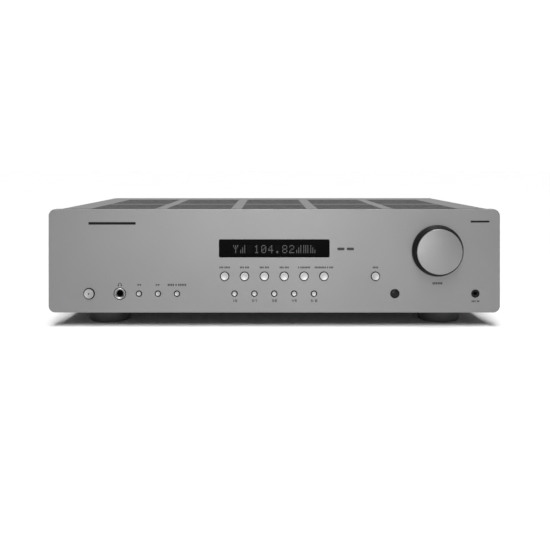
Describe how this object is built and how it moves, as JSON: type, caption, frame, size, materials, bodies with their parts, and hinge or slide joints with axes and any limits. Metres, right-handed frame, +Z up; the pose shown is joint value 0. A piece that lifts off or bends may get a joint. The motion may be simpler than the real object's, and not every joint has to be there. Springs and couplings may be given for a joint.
{
  "type": "stereo receiver",
  "caption": "Full-width hi-fi stereo receiver with a grey aluminium front, dark display, large volume knob, round buttons and a vented cover on low feet.",
  "frame": {"origin": "on the surface it stands on, under the middle of the whole object's box", "axes": "+X to the right as seen from the front, +Y to the rear, +Z up; the front panel faces -Y"},
  "size_m": [0.43, 0.34, 0.1125],
  "materials": {
    "satin_aluminium": "fine bead blasted and anodised, satin",
    "bright_aluminium": "anodised, light silver",
    "knob_face": "fine satin face with a bright turned edge",
    "knob_side": "black anodised, satin",
    "grey_paint": "fine textured powder coat",
    "black_paint": "fine textured powder coat",
    "black_plastic": "fine moulded grain",
    "smoked_window": "polished",
    "display_glass": "glass cell with grey dots",
    "circuit_board": "green solder mask",
    "zinc_steel": "zinc plated",
    "nickel": "nickel plated",
    "rubber": "matt",
    "transformer_tape": "varnished tape over copper windings on a steel core",
    "capacitor_sleeve": "shrunk sleeve over an aluminium can",
    "black_anodised": "black anodised",
    "red_plastic": "clear tinted",
    "white_plastic": "moulded"
  },
  "bodies": {
    "chassis": {"front_panel": "satin_aluminium", "display_window": "smoked_window", "display_module": "display_glass", "front_board": "circuit_board", "encoder_body": "black_plastic", "headphone_jack": "nickel", "aux_jack": "black_plastic", "remote_eye": "smoked_window", "chassis_tray": "zinc_steel", "top_cover": "grey_paint", "transformer": "transformer_tape", "transformer_clamp": "zinc_steel", "heatsink": "black_anodised", "amplifier_board": "circuit_board", "reservoir_capacitor_1": "capacitor_sleeve", "reservoir_capacitor_2": "capacitor_sleeve", "tuner_module": "zinc_steel", "rear_panel": "black_paint", "mains_inlet": "black_plastic", "switch_housing": "black_plastic", "speaker_terminal_base": "black_plastic", "phono_socket_block": "nickel", "digital_socket_block": "black_plastic", "aerial_socket": "nickel", "aerial_clip_housing": "black_plastic", "foot_front_left": "rubber", "foot_rear_left": "rubber", "foot_front_right": "rubber", "foot_rear_right": "rubber"},
    "power_button": {"power_button": "bright_aluminium"},
    "tune_down_button": {"tune_down_button": "bright_aluminium"},
    "tune_up_button": {"tune_up_button": "bright_aluminium"},
    "mode_button": {"mode_button": "bright_aluminium"},
    "input_button_1": {"input_button_1": "bright_aluminium"},
    "input_button_2": {"input_button_2": "bright_aluminium"},
    "input_button_3": {"input_button_3": "bright_aluminium"},
    "input_button_4": {"input_button_4": "bright_aluminium"},
    "input_button_5": {"input_button_5": "bright_aluminium"},
    "input_button_6": {"input_button_6": "bright_aluminium"},
    "menu_button": {"menu_button": "bright_aluminium"},
    "preset_button_1": {"preset_button_1": "bright_aluminium"},
    "preset_button_2": {"preset_button_2": "bright_aluminium"},
    "preset_button_3": {"preset_button_3": "bright_aluminium"},
    "preset_button_4": {"preset_button_4": "bright_aluminium"},
    "preset_button_5": {"preset_button_5": "bright_aluminium"},
    "volume_knob": {"volume_knob_body": "knob_side", "volume_knob_cap": "knob_face", "encoder_shaft": "zinc_steel"},
    "speaker_cap_1": {"speaker_cap_1": "black_plastic"},
    "speaker_cap_2": {"speaker_cap_2": "red_plastic"},
    "speaker_cap_3": {"speaker_cap_3": "black_plastic"},
    "speaker_cap_4": {"speaker_cap_4": "red_plastic"},
    "speaker_cap_5": {"speaker_cap_5": "black_plastic"},
    "speaker_cap_6": {"speaker_cap_6": "red_plastic"},
    "speaker_cap_7": {"speaker_cap_7": "black_plastic"},
    "speaker_cap_8": {"speaker_cap_8": "red_plastic"},
    "power_rocker": {"power_rocker": "black_plastic"},
    "aerial_clip_lever_1": {"aerial_clip_lever_1": "white_plastic"},
    "aerial_clip_lever_2": {"aerial_clip_lever_2": "black_plastic"},
    "ground_screw": {"ground_screw": "nickel"}
  },
  "joints": [
    {"name": "power_button_press", "type": "slide", "parent": "chassis", "child": "power_button", "axis": [0, 1, 0], "range_m": [0, 0.0009], "stiffness_N_per_m": 1800},
    {"name": "tune_down_button_press", "type": "slide", "parent": "chassis", "child": "tune_down_button", "axis": [0, 1, 0], "range_m": [0, 0.0009], "stiffness_N_per_m": 1500},
    {"name": "tune_up_button_press", "type": "slide", "parent": "chassis", "child": "tune_up_button", "axis": [0, 1, 0], "range_m": [0, 0.0009], "stiffness_N_per_m": 1500},
    {"name": "mode_button_press", "type": "slide", "parent": "chassis", "child": "mode_button", "axis": [0, 1, 0], "range_m": [0, 0.0009], "stiffness_N_per_m": 1500},
    {"name": "input_button_1_press", "type": "slide", "parent": "chassis", "child": "input_button_1", "axis": [0, 1, 0], "range_m": [0, 0.0009], "stiffness_N_per_m": 1500},
    {"name": "input_button_2_press", "type": "slide", "parent": "chassis", "child": "input_button_2", "axis": [0, 1, 0], "range_m": [0, 0.0009], "stiffness_N_per_m": 1500},
    {"name": "input_button_3_press", "type": "slide", "parent": "chassis", "child": "input_button_3", "axis": [0, 1, 0], "range_m": [0, 0.0009], "stiffness_N_per_m": 1500},
    {"name": "input_button_4_press", "type": "slide", "parent": "chassis", "child": "input_button_4", "axis": [0, 1, 0], "range_m": [0, 0.0009], "stiffness_N_per_m": 1500},
    {"name": "input_button_5_press", "type": "slide", "parent": "chassis", "child": "input_button_5", "axis": [0, 1, 0], "range_m": [0, 0.0009], "stiffness_N_per_m": 1500},
    {"name": "input_button_6_press", "type": "slide", "parent": "chassis", "child": "input_button_6", "axis": [0, 1, 0], "range_m": [0, 0.0009], "stiffness_N_per_m": 1500},
    {"name": "menu_button_press", "type": "slide", "parent": "chassis", "child": "menu_button", "axis": [0, 1, 0], "range_m": [0, 0.0009], "stiffness_N_per_m": 1500},
    {"name": "preset_button_1_press", "type": "slide", "parent": "chassis", "child": "preset_button_1", "axis": [0, 1, 0], "range_m": [0, 0.0009], "stiffness_N_per_m": 1500},
    {"name": "preset_button_2_press", "type": "slide", "parent": "chassis", "child": "preset_button_2", "axis": [0, 1, 0], "range_m": [0, 0.0009], "stiffness_N_per_m": 1500},
    {"name": "preset_button_3_press", "type": "slide", "parent": "chassis", "child": "preset_button_3", "axis": [0, 1, 0], "range_m": [0, 0.0009], "stiffness_N_per_m": 1500},
    {"name": "preset_button_4_press", "type": "slide", "parent": "chassis", "child": "preset_button_4", "axis": [0, 1, 0], "range_m": [0, 0.0009], "stiffness_N_per_m": 1500},
    {"name": "preset_button_5_press", "type": "slide", "parent": "chassis", "child": "preset_button_5", "axis": [0, 1, 0], "range_m": [0, 0.0009], "stiffness_N_per_m": 1500},
    {"name": "volume_turn", "type": "hinge", "parent": "chassis", "child": "volume_knob", "pos_m": [0.1554, -0.157, 0.0729], "axis": [0, -1, 0], "continuous": true},
    {"name": "speaker_cap_1_turn", "type": "hinge", "parent": "chassis", "child": "speaker_cap_1", "pos_m": [-0.082, 0.163, 0.048], "axis": [0, 1, 0], "continuous": true},
    {"name": "speaker_cap_2_turn", "type": "hinge", "parent": "chassis", "child": "speaker_cap_2", "pos_m": [-0.063, 0.163, 0.048], "axis": [0, 1, 0], "continuous": true},
    {"name": "speaker_cap_3_turn", "type": "hinge", "parent": "chassis", "child": "speaker_cap_3", "pos_m": [-0.033, 0.163, 0.048], "axis": [0, 1, 0], "continuous": true},
    {"name": "speaker_cap_4_turn", "type": "hinge", "parent": "chassis", "child": "speaker_cap_4", "pos_m": [-0.014, 0.163, 0.048], "axis": [0, 1, 0], "continuous": true},
    {"name": "speaker_cap_5_turn", "type": "hinge", "parent": "chassis", "child": "speaker_cap_5", "pos_m": [-0.082, 0.163, 0.082], "axis": [0, 1, 0], "continuous": true},
    {"name": "speaker_cap_6_turn", "type": "hinge", "parent": "chassis", "child": "speaker_cap_6", "pos_m": [-0.063, 0.163, 0.082], "axis": [0, 1, 0], "continuous": true},
    {"name": "speaker_cap_7_turn", "type": "hinge", "parent": "chassis", "child": "speaker_cap_7", "pos_m": [-0.033, 0.163, 0.082], "axis": [0, 1, 0], "continuous": true},
    {"name": "speaker_cap_8_turn", "type": "hinge", "parent": "chassis", "child": "speaker_cap_8", "pos_m": [-0.014, 0.163, 0.082], "axis": [0, 1, 0], "continuous": true},
    {"name": "power_rocker_tilt", "type": "hinge", "parent": "chassis", "child": "power_rocker", "pos_m": [-0.176, 0.15, 0.084], "axis": [1, 0, 0], "range_deg": [-16, 0]},
    {"name": "aerial_clip_lever_1_press", "type": "hinge", "parent": "chassis", "child": "aerial_clip_lever_1", "pos_m": [0.1707, 0.1544, 0.0684], "axis": [1, 0, 0], "range_deg": [-25, 0], "stiffness_Nm_per_rad": 0.1},
    {"name": "aerial_clip_lever_2_press", "type": "hinge", "parent": "chassis", "child": "aerial_clip_lever_2", "pos_m": [0.1813, 0.1544, 0.0684], "axis": [1, 0, 0], "range_deg": [-25, 0], "stiffness_Nm_per_rad": 0.1},
    {"name": "ground_screw_turn", "type": "hinge", "parent": "chassis", "child": "ground_screw", "pos_m": [0.152, 0.155, 0.042], "axis": [0, 1, 0], "continuous": true}
  ]
}
